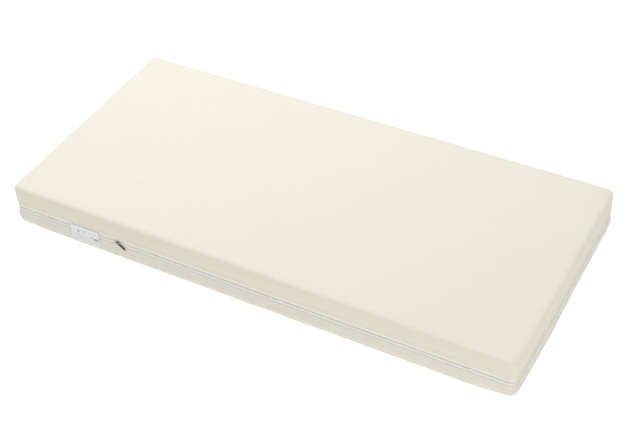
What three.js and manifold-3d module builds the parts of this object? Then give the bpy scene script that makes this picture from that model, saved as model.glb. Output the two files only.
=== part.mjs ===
// Pressure relief mattress: a zipped two-part knitted cover round a zoned foam core.
// Millimetres, +Z up, origin at the centre of the underside. +X runs along the length towards the
// head, and -Y is the long side where the ends of the all-round zip meet and its slider is parked.
import * as THREE from 'three';
import { mergeVertices } from 'three/addons/utils/BufferGeometryUtils.js';
import Module from 'manifold-3d';

const wasm = await Module();
wasm.setup();

// ---- driving dimensions ----
const LENGTH = 1900;
const WIDTH = 900;
const HEIGHT = 170;
const CORNER_R = 24;          // corners of the cover in plan
const EDGE_R = 19;            // soft upper and lower edges of the cover
const CLOTH = 3;              // knitted face with its lining
const GAP = 0.3;              // clearance between pieces that touch
const EDGE_STEPS = 5;
const CORNER_STEPS = 5;
const FINE_STEPS = 10;         // for the small metal pieces

// zip: two tapes, each with a row of coil, meeting at ZIP_Z
const ZIP_Z = 75;
const TAPE_REACH = 14;        // from the meeting line to the outer edge of a tape
const TAPE_THICK = 1;
const COIL_LOW = 0.2;         // from the meeting line to the near edge of a coil row
const COIL_HIGH = 3;
const COIL_THICK = 2.4;
const TAPE_DEPTH = 1.8;       // from the cover's face to the middle of the tape
const ZIP_END_X = -521;       // where the two ends of the zip meet
const COIL_END_LENGTH = 13;   // tape left bare of coil at that place, for the slider's wedge
const TAB_LENGTH = 17;
const TAB_THICK = 1;

// slider and its pull
const SLIDER_X = -505;
const SLIDER_LENGTH = 22;
const SLIDER_MOUTH = 15;      // width at the end with two mouths
const SLIDER_TAIL = 11;
const SLIDER_HALF = 3.6;      // half of its thickness
const PLATE_THICK = 1.6;
const FLANGE_THICK = 1.6;
const TAPE_SLOT = 0.9;        // half of the slot that a tape slides in
const BRIDGE_HALF = 7;        // half of the bridge's length
const BRIDGE_BAR = 1.9;
const BRIDGE_TOP = 7.8;
const PULL_LENGTH = 40;
const PULL_HEAD_R = 3.6;
const PULL_EYE_R = 2;
const PULL_FOOT_R = 4.5;
const PULL_THICK = 1.3;
const PULL_OUT = 4.2;         // from the tape's middle to the back of the pull
const PULL_LEAN = 55;         // degrees from upright, where the cloth's friction holds it

// care label, sewn in over the upper tape and hanging across the zip
const LABEL_X = -648;
const LABEL_WIDTH = 120;
const LABEL_TOP = 88;
const LABEL_BOTTOM = 16;
const LABEL_THICK = 0.7;
const LABEL_GAP = 0.6;        // clearance from the cover, for its thickness when it is turned up
const LABEL_FLARE = 5;        // how far its free edge stands off the cover

// foam core
const CORE_INSET = 9;         // from the cover's face, in plan
const CORE_CORNER_R = 22;
const CORE_EDGE_R = 10;
const CORE_BOTTOM = CLOTH + GAP;
const CORE_TOP = HEIGHT - CLOTH - 0.5;
const SLAB_TOP = 62;
const TRANSITION_TOP = 112;
const BOLSTER_WIDTH = 90;
const HEEL_LENGTH = 500;
const HEAD_LENGTH = 500;
const SLIT = 4;               // width of the cuts between foam cells
const SLIT_DEPTH = 28;

const FAR = 4000;             // larger than the mattress, for half spaces
const NEAR_FACE = -WIDTH / 2;

// ---- colours ----
const CREAM = { color: 0xf1ecdd, roughness: 0.95, metalness: 0 };
const CREAM_SIDE = { color: 0xe2dccb, roughness: 0.95, metalness: 0 };
const TAPE_WHITE = { color: 0xefeee8, roughness: 0.85, metalness: 0 };
const COIL_WHITE = { color: 0xf3f2ee, roughness: 0.45, metalness: 0 };
const NICKEL = { color: 0xc9c6bf, roughness: 0.35, metalness: 0.9 };
const DARK_METAL = { color: 0x2c2b2b, roughness: 0.4, metalness: 0.8 };
const LABEL_WHITE = { color: 0xf4f4f2, roughness: 0.6, metalness: 0 };
const FOAM_FIRM = { color: 0xd9e3ea, roughness: 1, metalness: 0 };
const FOAM_RAIL = { color: 0xc3d3de, roughness: 1, metalness: 0 };
const FOAM_SOFT = { color: 0xe9eef0, roughness: 1, metalness: 0 };
const FOAM_MEMORY = { color: 0xf3eccd, roughness: 1, metalness: 0 };

// ---- solids ----
function solidOf(geometry) {
  const bare = geometry.clone();
  bare.deleteAttribute('normal');
  bare.deleteAttribute('uv');
  const merged = mergeVertices(bare, 1e-4);
  return new wasm.Manifold(new wasm.Mesh({
    numProp: 3,
    vertProperties: Float32Array.from(merged.attributes.position.array),
    triVerts: Uint32Array.from(merged.index.array),
  }));
}

function geometryOf(solid) {
  const mesh = solid.getMesh();
  const geometry = new THREE.BufferGeometry();
  geometry.setAttribute('position', new THREE.BufferAttribute(Float32Array.from(mesh.vertProperties), 3));
  geometry.setIndex(Array.from(mesh.triVerts));
  geometry.computeVertexNormals();
  return geometry;
}

// A box between two corners.
function boxBetween(low, high) {
  const size = high.map((v, i) => v - low[i]);
  const geometry = new THREE.BoxGeometry(...size);
  geometry.translate(...low.map((v, i) => v + size[i] / 2));
  return solidOf(geometry);
}

function roundedRectangle(length, width, radius) {
  const x = length / 2;
  const y = width / 2;
  const shape = new THREE.Shape();
  shape.moveTo(-x + radius, -y);
  shape.lineTo(x - radius, -y);
  shape.absarc(x - radius, -y + radius, radius, -Math.PI / 2, 0, false);
  shape.lineTo(x, y - radius);
  shape.absarc(x - radius, y - radius, radius, 0, Math.PI / 2, false);
  shape.lineTo(-x + radius, y);
  shape.absarc(-x + radius, y - radius, radius, Math.PI / 2, Math.PI, false);
  shape.lineTo(-x, -y + radius);
  shape.absarc(-x + radius, -y + radius, radius, Math.PI, 1.5 * Math.PI, false);
  return shape;
}

function extrude(shape, low, high, steps = CORNER_STEPS) {
  const geometry = new THREE.ExtrudeGeometry(shape, {
    depth: high - low, bevelEnabled: false, curveSegments: steps,
  });
  geometry.translate(0, 0, low);
  return geometry;
}

// A block of the mattress's outline with all its upper and lower edges rounded.
function softBlock(inset, low, high, cornerRadius, edgeRadius) {
  const shape = roundedRectangle(LENGTH - 2 * inset, WIDTH - 2 * inset, cornerRadius);
  const geometry = new THREE.ExtrudeGeometry(shape, {
    depth: high - low - 2 * edgeRadius,
    bevelEnabled: true,
    bevelThickness: edgeRadius,
    bevelSize: edgeRadius,
    bevelOffset: -edgeRadius,
    bevelSegments: EDGE_STEPS,
    curveSegments: CORNER_STEPS,
  });
  geometry.translate(0, 0, low + edgeRadius);
  return solidOf(geometry);
}

// A strip that runs round the mattress in its side wall, open where the zip's ends meet.
function wallStrip(thickness, low, high, opening) {
  const outer = TAPE_DEPTH - thickness / 2;
  const inner = TAPE_DEPTH + thickness / 2;
  const shape = roundedRectangle(LENGTH - 2 * outer, WIDTH - 2 * outer, CORNER_R - outer);
  shape.holes.push(roundedRectangle(LENGTH - 2 * inner, WIDTH - 2 * inner, CORNER_R - inner));
  const gap = boxBetween(
    [ZIP_END_X - 0.5, -FAR, low - 1],
    [ZIP_END_X - 0.5 + opening, 0, high + 1],
  );
  return solidOf(extrude(shape, low, high)).subtract(gap);
}

// ---- the object ----
const mattress = new THREE.Group();

function add(name, geometry, look, parent = mattress) {
  const mesh = new THREE.Mesh(geometry, new THREE.MeshStandardMaterial(look));
  mesh.name = name;
  parent.add(mesh);
  return mesh;
}

function addCover() {
  const outside = softBlock(0, 0, HEIGHT, CORNER_R, EDGE_R);
  const inside = softBlock(CLOTH, CLOTH, HEIGHT - CLOTH, CORNER_R - CLOTH, EDGE_R - CLOTH);
  const shell = outside.subtract(inside);
  const above = boxBetween([-FAR, -FAR, ZIP_Z + TAPE_REACH], [FAR, FAR, FAR]);
  const below = boxBetween([-FAR, -FAR, -FAR], [FAR, FAR, ZIP_Z - TAPE_REACH]);
  add('cover_top', geometryOf(shell.intersect(above)), CREAM);
  add('cover_base', geometryOf(shell.intersect(below)), CREAM_SIDE);
}

function addZip() {
  const halves = [['upper', 1], ['lower', -1]];
  for (const [name, side] of halves) {
    const tapeSpan = [ZIP_Z + side * (COIL_HIGH + GAP), ZIP_Z + side * (TAPE_REACH - GAP)];
    const coilSpan = [ZIP_Z + side * COIL_LOW, ZIP_Z + side * COIL_HIGH];
    const tape = wallStrip(TAPE_THICK, Math.min(...tapeSpan), Math.max(...tapeSpan), 1);
    const coil = wallStrip(COIL_THICK, Math.min(...coilSpan), Math.max(...coilSpan), COIL_END_LENGTH);
    add(`zip_tape_${name}`, geometryOf(tape), TAPE_WHITE);
    add(`zip_coil_${name}`, geometryOf(coil), COIL_WHITE);
  }

  // cloth tab that backs the place where the zip's ends meet
  const tabBack = NEAR_FACE + TAPE_DEPTH + COIL_THICK / 2 + GAP;
  const tab = new THREE.BoxGeometry(TAB_LENGTH, TAB_THICK, 2 * TAPE_REACH - 2);
  const tabMesh = add('zip_end_tab', tab, CREAM_SIDE);
  tabMesh.position.set(ZIP_END_X - TAB_LENGTH / 2 + 3, tabBack + TAB_THICK / 2, ZIP_Z);
}

// The slider is drawn flat: x along the zip, y up the wall, z out of the wall.
function addSlider() {
  const slider = new THREE.Group();
  slider.rotation.x = Math.PI / 2;
  slider.position.set(SLIDER_X, NEAR_FACE + TAPE_DEPTH, ZIP_Z);
  mattress.add(slider);

  const half = SLIDER_LENGTH / 2;
  const plan = (extra, reach) => {
    const mouth = SLIDER_MOUTH / 2 - extra;
    const tail = SLIDER_TAIL / 2 - extra;
    const round = 2;
    const shape = new THREE.Shape();
    shape.moveTo(-reach, -mouth + round);
    shape.quadraticCurveTo(-reach, -mouth, -reach + round, -mouth);
    shape.lineTo(reach - round, -tail);
    shape.quadraticCurveTo(reach, -tail, reach, -tail + round);
    shape.lineTo(reach, tail - round);
    shape.quadraticCurveTo(reach, tail, reach - round, tail);
    shape.lineTo(-reach + round, mouth);
    shape.quadraticCurveTo(-reach, mouth, -reach, mouth - round);
    shape.closePath();
    return shape;
  };
  const block = solidOf(extrude(plan(0, half), -SLIDER_HALF, SLIDER_HALF, FINE_STEPS));
  const inner = SLIDER_HALF - PLATE_THICK;
  const channel = solidOf(extrude(plan(FLANGE_THICK, half + 4), -inner, inner));
  const slot = boxBetween([-half - 1, -FAR, -TAPE_SLOT], [half + 1, FAR, TAPE_SLOT]);

  // wedge between the two mouths, which parts the rows and ties the plates together
  const wedgeShape = new THREE.Shape();
  wedgeShape.moveTo(-half + 1, 0);
  wedgeShape.lineTo(-half + 3.5, -1.8);
  wedgeShape.lineTo(-half + 7, 0);
  wedgeShape.lineTo(-half + 3.5, 1.8);
  wedgeShape.closePath();
  const wedge = solidOf(extrude(wedgeShape, -inner - 0.5, inner + 0.5));

  // bridge: an arch on the front plate that the pull's eye is threaded on
  const foot = SLIDER_HALF - 0.5;
  const shoulder = BRIDGE_TOP - 2.5;
  const arch = new THREE.Shape();
  arch.moveTo(-BRIDGE_HALF, foot);
  arch.lineTo(-BRIDGE_HALF, shoulder);
  arch.quadraticCurveTo(-BRIDGE_HALF, BRIDGE_TOP, -BRIDGE_HALF + 2.5, BRIDGE_TOP);
  arch.lineTo(BRIDGE_HALF - 2.5, BRIDGE_TOP);
  arch.quadraticCurveTo(BRIDGE_HALF, BRIDGE_TOP, BRIDGE_HALF, shoulder);
  arch.lineTo(BRIDGE_HALF, foot);
  arch.lineTo(BRIDGE_HALF - BRIDGE_BAR, foot);
  arch.lineTo(BRIDGE_HALF - BRIDGE_BAR, BRIDGE_TOP - BRIDGE_BAR);
  arch.lineTo(-BRIDGE_HALF + BRIDGE_BAR, BRIDGE_TOP - BRIDGE_BAR);
  arch.lineTo(-BRIDGE_HALF + BRIDGE_BAR, foot);
  arch.closePath();
  const archGeometry = extrude(arch, -1, 1, FINE_STEPS);
  archGeometry.rotateX(Math.PI / 2);

  const body = block.subtract(channel).subtract(slot).add(wedge).add(solidOf(archGeometry));
  add('zip_slider', geometryOf(body), NICKEL, slider);

  // pull: its eye hangs round the leg of the bridge at the mouth end
  const pull = new THREE.Shape();
  pull.moveTo(PULL_HEAD_R, 0);
  pull.absarc(0, 0, PULL_HEAD_R, 0, Math.PI, false);
  pull.lineTo(-PULL_FOOT_R, -PULL_LENGTH + PULL_FOOT_R);
  pull.absarc(0, -PULL_LENGTH + PULL_FOOT_R, PULL_FOOT_R, Math.PI, 2 * Math.PI, false);
  pull.closePath();
  const eye = new THREE.Path();
  eye.absarc(0, 0, PULL_EYE_R, 0, 2 * Math.PI, true);
  pull.holes.push(eye);
  const pullMesh = add('zip_pull_tab', extrude(pull, 0, PULL_THICK, FINE_STEPS), DARK_METAL, slider);
  pullMesh.position.set(-BRIDGE_HALF + BRIDGE_BAR / 2, 0, PULL_OUT);
  pullMesh.rotation.z = THREE.MathUtils.degToRad(PULL_LEAN);
}

// A flap that leaves its stitch line upright and curves away from the wall.
function addLabel() {
  const drop = LABEL_TOP - LABEL_BOTTOM;
  const steps = 6;
  const flareAt = (t) => LABEL_FLARE * t * t;
  const points = [];
  for (let i = 0; i <= steps; i += 1) {
    points.push([flareAt(i / steps), -drop * (i / steps)]);
  }
  const shape = new THREE.Shape();
  shape.moveTo(...points[0]);
  points.slice(1).forEach(([out, down]) => shape.lineTo(out, down));
  points.reverse().forEach(([out, down]) => shape.lineTo(out + LABEL_THICK, down));
  shape.closePath();
  const geometry = new THREE.ExtrudeGeometry(shape, { depth: LABEL_WIDTH, bevelEnabled: false });
  // the section is drawn as (out, down) and extruded along the wall
  const turn = new THREE.Matrix4().makeBasis(
    new THREE.Vector3(0, -1, 0),
    new THREE.Vector3(0, 0, 1),
    new THREE.Vector3(-1, 0, 0),
  );
  geometry.applyMatrix4(turn);
  const label = add('care_label', geometry, LABEL_WHITE);
  label.position.set(LABEL_X + LABEL_WIDTH / 2, NEAR_FACE - LABEL_GAP, LABEL_TOP);
}

// Straight cuts that divide a pad's top into cells.
function slits(x0, x1, y0, y1, columns, rows) {
  const low = CORE_TOP - SLIT_DEPTH;
  const cuts = [];
  for (let i = 1; i < columns; i += 1) {
    const x = x0 + ((x1 - x0) * i) / columns;
    cuts.push(boxBetween([x - SLIT / 2, y0 - 1, low], [x + SLIT / 2, y1 + 1, HEIGHT]));
  }
  for (let i = 1; i < rows; i += 1) {
    const y = y0 + ((y1 - y0) * i) / rows;
    cuts.push(boxBetween([x0 - 1, y - SLIT / 2, low], [x1 + 1, y + SLIT / 2, HEIGHT]));
  }
  return cuts.reduce((all, cut) => all.add(cut));
}

function addFoam() {
  const core = softBlock(CORE_INSET, CORE_BOTTOM, CORE_TOP, CORE_CORNER_R, CORE_EDGE_R);
  const rail = WIDTH / 2 - CORE_INSET - BOLSTER_WIDTH;
  const end = LENGTH / 2 - CORE_INSET;
  const part = (low, high) => core.intersect(boxBetween(low, high));

  add('base_slab', geometryOf(part([-FAR, -FAR, -FAR], [FAR, FAR, SLAB_TOP])), FOAM_FIRM);
  const railLow = SLAB_TOP + GAP;
  const near = part([-FAR, -FAR, railLow], [FAR, -rail, FAR]);
  const far = part([-FAR, rail, railLow], [FAR, FAR, FAR]);
  add('side_bolster_near', geometryOf(near), FOAM_RAIL);
  add('side_bolster_far', geometryOf(far), FOAM_RAIL);

  const inner = rail - GAP;
  const layer = part([-FAR, -inner, railLow], [FAR, inner, TRANSITION_TOP]);
  add('transition_layer', geometryOf(layer), FOAM_SOFT);

  const heelEnd = -end + HEEL_LENGTH;
  const headStart = end - HEAD_LENGTH;
  const pads = [
    ['heel_pad', -end, heelEnd - GAP / 2, 8, 6],
    ['torso_pad', heelEnd + GAP / 2, headStart - GAP / 2, 8, 6],
    ['head_pad', headStart + GAP / 2, end, 3, 4],
  ];
  for (const [name, x0, x1, columns, rows] of pads) {
    const pad = part([x0, -inner, TRANSITION_TOP + GAP], [x1, inner, FAR]);
    add(name, geometryOf(pad.subtract(slits(x0, x1, -inner, inner, columns, rows))), FOAM_MEMORY);
  }
}

addCover();
addZip();
addSlider();
addLabel();
addFoam();

export default mattress;
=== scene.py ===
# Pressure relief mattress: the visible surface of the zipped knitted cover, its zip and label, and the
# zoned foam core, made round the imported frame. Metres, +Z up, -Y the long side with the slider.
import math

import bmesh
import bpy
import numpy as np
from mathutils import Matrix, Vector
from mathutils.bvhtree import BVHTree


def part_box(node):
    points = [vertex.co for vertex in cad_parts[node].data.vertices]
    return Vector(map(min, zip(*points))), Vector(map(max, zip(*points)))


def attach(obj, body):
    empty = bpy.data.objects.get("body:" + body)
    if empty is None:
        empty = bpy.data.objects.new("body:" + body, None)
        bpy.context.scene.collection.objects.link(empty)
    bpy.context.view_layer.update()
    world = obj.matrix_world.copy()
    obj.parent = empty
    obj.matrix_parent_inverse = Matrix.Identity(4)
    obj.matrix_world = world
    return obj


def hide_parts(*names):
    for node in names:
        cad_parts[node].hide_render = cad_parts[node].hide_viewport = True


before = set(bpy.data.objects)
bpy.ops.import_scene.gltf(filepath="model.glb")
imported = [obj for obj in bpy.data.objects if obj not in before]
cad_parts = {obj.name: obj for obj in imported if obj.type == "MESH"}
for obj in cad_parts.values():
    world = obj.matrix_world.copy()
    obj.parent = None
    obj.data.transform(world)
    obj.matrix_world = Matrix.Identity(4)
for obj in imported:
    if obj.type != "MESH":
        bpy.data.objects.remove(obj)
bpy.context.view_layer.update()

MM = 0.001
TURN = 2 * math.pi

# ---- places and sizes, from the frame ----
TOP_LOW, TOP_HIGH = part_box("cover_top")
BASE_LOW, BASE_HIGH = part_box("cover_base")
LABEL_LOW, LABEL_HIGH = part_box("care_label")
TAB_LOW, TAB_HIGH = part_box("zip_end_tab")

HALF_LENGTH, HALF_WIDTH, HEIGHT = TOP_HIGH
ZIP_Z = (TOP_LOW.z + BASE_HIGH.z) / 2
CORNER_R = 24 * MM
EDGE_R = 16 * MM
ZIP_END_X = TAB_HIGH.x - 3 * MM  # where the two ends of the zip meet
CORNER_STEPS = 16         # of the wall's outline at one corner

# cover cloth
CLOTH_THICK = 2.2 * MM
CLOTH_STEP = 21 * MM      # between grid lines in the middle of the flat faces
CROWN = 1.2 * MM          # how much lower the top starts, before it swells
SWELL_CAP = 2.5 * MM
SWELL_PRESSURE, SWELL_SLACK, SWELL_FRAMES = 4.0, 0.01, 20
PIN_FADE = 6 * MM         # from the sewn hem to the free cloth
BULGE = 2.5 * MM          # of the upper walls, between the hem and the rounded edge
LOW_EDGE_R = 13 * MM      # of the underside's edge
LOW_BULGE = 1.6 * MM      # of the lower walls near the corners and behind the label
SIDE_BULGE, SIDE_MIDDLE, SIDE_SPREAD = 4.5 * MM, 80 * MM, 330 * MM
END_BULGE, END_MIDDLE, END_SPREAD = 6.5 * MM, -210 * MM, 260 * MM
CORNER_LIFT, LIFT_REACH = 9 * MM, 180 * MM  # of the underside near its corners
NEAR_HEAD_LIFT = 15 * MM  # and at the head end's near corner
HEM = 9 * MM              # turned edge along the zip
HEM_PROUD, HEM_SLOPE = 0.5 * MM, 1.6 * MM
STITCH_FROM_EDGE = 2.4 * MM
STITCH_PITCH = 3.4 * MM
STITCH_SIZE = 1.25 * MM, 0.36 * MM, 0.3 * MM  # half length, half width and half height
STITCH_PROUD = 0.05 * MM  # from the cloth to the middle of a stitch
SEAM_START, SEAM_STEP = 0.4 * MM, 2.5 * MM  # up the wall from the rim
SEAM_ANGLES = np.radians(np.arange(6, 78, 6))  # over the edge
SEAM_FADE = 6             # points over which a seam fades out
RAY_START = 60 * MM       # outside the cloth

# zip
TAPE_FACE = 1.2 * MM      # from the cover's nominal face in to the tape's face
TAPE_THICK = 0.7 * MM
TAPE_EDGE = 0.05 * MM     # from the meeting line to the tape's edge, under the coil
TAPE_HIDDEN = 4 * MM      # tape behind the hem
SELVEDGE = 0.9 * MM
TAPE_STEP = 25 * MM
TOOTH_PITCH = 2.1 * MM
TOOTH_WIRE = 0.42 * MM    # radius
TOOTH_CENTRE = 1.45 * MM  # from the meeting line to the middle of a coil
TOOTH_REACH = 1.75 * MM
TOOTH_DEEP = 0.5 * MM
TOOTH_INSET = 0.85 * MM
TOOTH_POINTS, WIRE_SIDES = 7, 4
COIL_BARE = 12.5 * MM     # tape left without coil at the slider's wedge

# foam
FOAM_INSET = 9 * MM
FOAM_BOTTOM, FOAM_TOP = BASE_LOW.z + 2.9 * MM, HEIGHT - 9.5 * MM
FOAM_CORNER_R = 28 * MM
FOAM_EDGE_R = 15 * MM
CELL_ROUND, CELL_SOFTNESS = 9 * MM, 0.55  # reach of a cell's rounded edge, and its share of a full round
SLIT = 3.4 * MM
SLIT_DEPTH = 26 * MM
FOAM_GAP = 0.2 * MM       # from each piece to its CAD solid's faces
FOAM_STEP, FOAM_LEVEL, LINE_GAP = 60 * MM, 12 * MM, 5 * MM
EDGE_LINES = np.array([1.2, 3, 5.5, 8.5, 12, 16, 21, 28]) * MM  # grid lines in from a rounded edge
SLIT_LINES = np.array([0, 0.15, 0.8, 2.2, 4.5, 9]) * MM  # and away from a slit


class Half:
    """What differs between the upper and the lower half of the cover, its zip and its sewing."""

    def __init__(self, upper):
        self.upper = upper
        self.side = "upper" if upper else "lower"
        self.sign = 1 if upper else -1
        self.body = f"{self.side}_cover"
        self.node = "cover_top" if upper else "cover_base"
        self.slot = "knit_top" if upper else "knit_base"
        self.rim_z = TOP_LOW.z if upper else BASE_HIGH.z
        self.flat_z = HEIGHT - CROWN if upper else 0.0
        self.wall = abs(self.flat_z - self.rim_z)
        self.edge = EDGE_R if upper else LOW_EDGE_R


UPPER, LOWER = Half(True), Half(False)


# ---- camera, light and floor ----
FLOOR_HALF, FLOOR_Z = 70, -0.4 * MM


def add_camera():
    """The photograph's view: from above the near right, tilted a little."""
    azimuth, elevation, roll = math.radians(30.288), math.radians(41.176), math.radians(-2.897)
    distance, focal = 4.666, 73.77
    target = Vector((2.5 * MM, 51 * MM, 0))
    back = Vector((
        math.sin(azimuth) * math.cos(elevation),
        -math.cos(azimuth) * math.cos(elevation),
        math.sin(elevation),
    ))
    right = Vector((0, 0, 1)).cross(back).normalized()
    up = back.cross(right)
    right, up = (
        math.cos(roll) * right + math.sin(roll) * up,
        math.cos(roll) * up - math.sin(roll) * right,
    )
    data = bpy.data.cameras.new("camera")
    data.lens, data.sensor_width = focal, 36
    data.clip_start, data.clip_end = 0.1, 200
    camera = bpy.data.objects.new("camera", data)
    axes = Matrix((right, up, back)).transposed().to_4x4()
    camera.matrix_world = Matrix.Translation(target + back * distance) @ axes
    bpy.context.collection.objects.link(camera)
    bpy.context.scene.camera = camera


def add_area_light(name, place, aim, size, watts, colour=(1, 1, 1)):
    data = bpy.data.lights.new(name, "AREA")
    data.shape = "RECTANGLE"
    data.size, data.size_y = size
    data.energy, data.color = watts, colour
    light = bpy.data.objects.new(name, data)
    light.location = place
    direction = Vector(aim) - Vector(place)
    light.rotation_euler = direction.to_track_quat("-Z", "Y").to_euler()
    bpy.context.collection.objects.link(light)


def add_studio():
    scene = bpy.context.scene
    scene.view_settings.view_transform = "Standard"
    scene.view_settings.look = "None"
    world = bpy.data.worlds.new("studio")
    scene.world = world
    world.use_nodes = True
    background = world.node_tree.nodes["Background"]
    background.inputs["Color"].default_value = (1, 1, 1, 1)
    background.inputs["Strength"].default_value = 0.72
    add_area_light("front", (1.5, -2.4, 0.32), (0.6, -0.45, 0.08), (1.0, 0.5), 5.6)
    add_area_light("side", (2.9, -0.5, 0.35), (0.95, 0, 0.08), (0.8, 0.5), 2.6, (0.97, 0.98, 1))
    add_area_light("key", (-1.3, 1.0, 3.6), (-0.1, 0, 0), (3.2, 2.6), 62, (1, 0.995, 0.985))

    floor = mesh_object(
        "floor",
        [(x * FLOOR_HALF, y * FLOOR_HALF, FLOOR_Z) for x, y in ((-1, -1), (1, -1), (1, 1), (-1, 1))],
        [(0, 1, 2, 3)],
    )
    floor.data.materials.append(floor_material())


# ---- node materials ----
class Tree:
    """A material's node tree, with short calls for the nodes used here."""

    def __init__(self, name, **shader):
        self.material = bpy.data.materials.new(name)
        self.material.use_nodes = True
        self.tree = self.material.node_tree
        self.shader = self.tree.nodes["Principled BSDF"]
        for socket, value in shader.items():
            self.shader.inputs[socket.replace("_", " ")].default_value = value

    def put(self, socket, value):
        if isinstance(value, bpy.types.NodeSocket):
            self.tree.links.new(value, socket)
        else:
            socket.default_value = value

    def node(self, kind, *values, **settings):
        made = self.tree.nodes.new(kind)
        for key, value in settings.items():
            setattr(made, key, value)
        for socket, value in zip(made.inputs, values):
            if value is not None:
                self.put(socket, value)
        return made.outputs[0]

    def math(self, operation, *values):
        return self.node("ShaderNodeMath", *values, operation=operation)

    def mix(self, factor, first, second):
        made = self.tree.nodes.new("ShaderNodeMix")
        made.data_type = "RGBA"
        self.put(made.inputs["Factor"], factor)
        self.put(made.inputs["A"], first)
        self.put(made.inputs["B"], second)
        return made.outputs["Result"]

    def coordinates(self, name):
        return self.tree.nodes.new("ShaderNodeTexCoord").outputs[name]

    def place(self, vector, location=(0, 0, 0), angle=0.0, scale=(1, 1, 1)):
        made = self.tree.nodes.new("ShaderNodeMapping")
        made.vector_type = "TEXTURE"
        self.put(made.inputs["Vector"], vector)
        made.inputs["Location"].default_value = location
        made.inputs["Rotation"].default_value = (0, 0, angle)
        made.inputs["Scale"].default_value = scale
        return made.outputs["Vector"]

    def parts(self, vector):
        made = self.tree.nodes.new("ShaderNodeSeparateXYZ")
        self.put(made.inputs["Vector"], vector)
        return made.outputs["X"], made.outputs["Y"], made.outputs["Z"]

    def noise(self, vector, scale, detail=2.0):
        made = self.tree.nodes.new("ShaderNodeTexNoise")
        self.put(made.inputs["Vector"], vector)
        made.inputs["Scale"].default_value = scale
        made.inputs["Detail"].default_value = detail
        return made.outputs["Fac"]

    def ramp(self, value, low, high, at_low=0.0, at_high=1.0):
        made = self.tree.nodes.new("ShaderNodeMapRange")
        made.interpolation_type = "SMOOTHSTEP"
        for socket, given in zip(made.inputs, (value, low, high, at_low, at_high)):
            self.put(socket, given)
        return made.outputs["Result"]

    def bump(self, height, distance, normal=None, strength=1.0):
        made = self.tree.nodes.new("ShaderNodeBump")
        made.inputs["Strength"].default_value = strength
        made.inputs["Distance"].default_value = distance
        self.put(made.inputs["Height"], height)
        if normal is not None:
            self.put(made.inputs["Normal"], normal)
        return made.outputs["Normal"]

    def finish(self, colour, normal=None, roughness=None):
        self.put(self.shader.inputs["Base Color"], colour)
        if normal is not None:
            self.put(self.shader.inputs["Normal"], normal)
        if roughness is not None:
            self.put(self.shader.inputs["Roughness"], roughness)
        return self.material


TAPE_WHITE = (0.80, 0.78, 0.71, 1)
TAPE_SHADE = (0.76, 0.74, 0.665, 1)


def floor_material():
    tree = Tree("studio_floor", Roughness=0.9)
    tree.shader.inputs["Emission Color"].default_value = (1, 1, 1, 1)
    tree.shader.inputs["Emission Strength"].default_value = 0.65
    ground = tree.noise(tree.coordinates("Object"), 3.0)
    return tree.finish(tree.mix(ground, (0.50, 0.50, 0.50, 1), (0.53, 0.53, 0.53, 1)))


def knit_height(tree, cloth, column, row):
    """Jersey stitches: columns of small Vs, one column by one row to a stitch."""
    across, along, _ = tree.parts(tree.place(cloth, scale=(column, row, 1)))
    centred = tree.math("ABSOLUTE", tree.math("SUBTRACT", tree.math("FRACT", across), 0.5))
    slant = tree.math("MULTIPLY_ADD", centred, 1.3, along)
    legs = tree.math("SINE", tree.math("MULTIPLY", slant, TURN))
    between = tree.math("SINE", tree.math("MULTIPLY", centred, TURN))
    return tree.math("MULTIPLY", tree.math("MULTIPLY_ADD", legs, 0.5, 0.5), between)


# leaves of the woven sprig: (x, y, angle, half length, half width) in a repeat one unit across
SPRIG = [
    (0.00, 0.05, 0.35, 0.20, 0.012),
    (0.24, 0.17, 0.55, 0.085, 0.040),
    (0.13, 0.17, 1.25, 0.070, 0.034),
    (0.09, 0.02, -0.35, 0.075, 0.034),
    (-0.02, 0.12, 1.35, 0.070, 0.034),
    (-0.05, -0.03, -0.55, 0.072, 0.032),
    (-0.16, 0.05, 1.55, 0.062, 0.030),
    (-0.22, -0.07, 0.30, 0.060, 0.026),
]
REPEAT_X, REPEAT_Y = 360 * MM, 400 * MM


def sprig_mask(tree, cloth):
    """Sprigs in a half-drop repeat: 1 on a leaf or stem, 0 between."""
    across, along, _ = tree.parts(tree.place(cloth, scale=(REPEAT_X, REPEAT_Y, 1)))
    column = tree.math("FLOOR", across)
    dropped = tree.math("MULTIPLY_ADD", column, 0.5, along)
    local = tree.node(
        "ShaderNodeCombineXYZ",
        tree.math("SUBTRACT", tree.math("FRACT", across), 0.5),
        tree.math("SUBTRACT", tree.math("FRACT", dropped), 0.5),
    )
    mask = None
    for x, y, angle, half_length, half_width in SPRIG:
        leaf = tree.place(local, (x, y, 0), angle, (half_length, half_width, 1))
        along_leaf, off_leaf, _ = tree.parts(leaf)
        bend = tree.math("MULTIPLY", along_leaf, along_leaf)
        off = tree.math("ADD", tree.math("ABSOLUTE", off_leaf), bend)
        leaf_mask = tree.ramp(off, 0.75, 1.0, 1.0, 0.0)
        mask = leaf_mask if mask is None else tree.math("MAXIMUM", mask, leaf_mask)
    return mask


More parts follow.
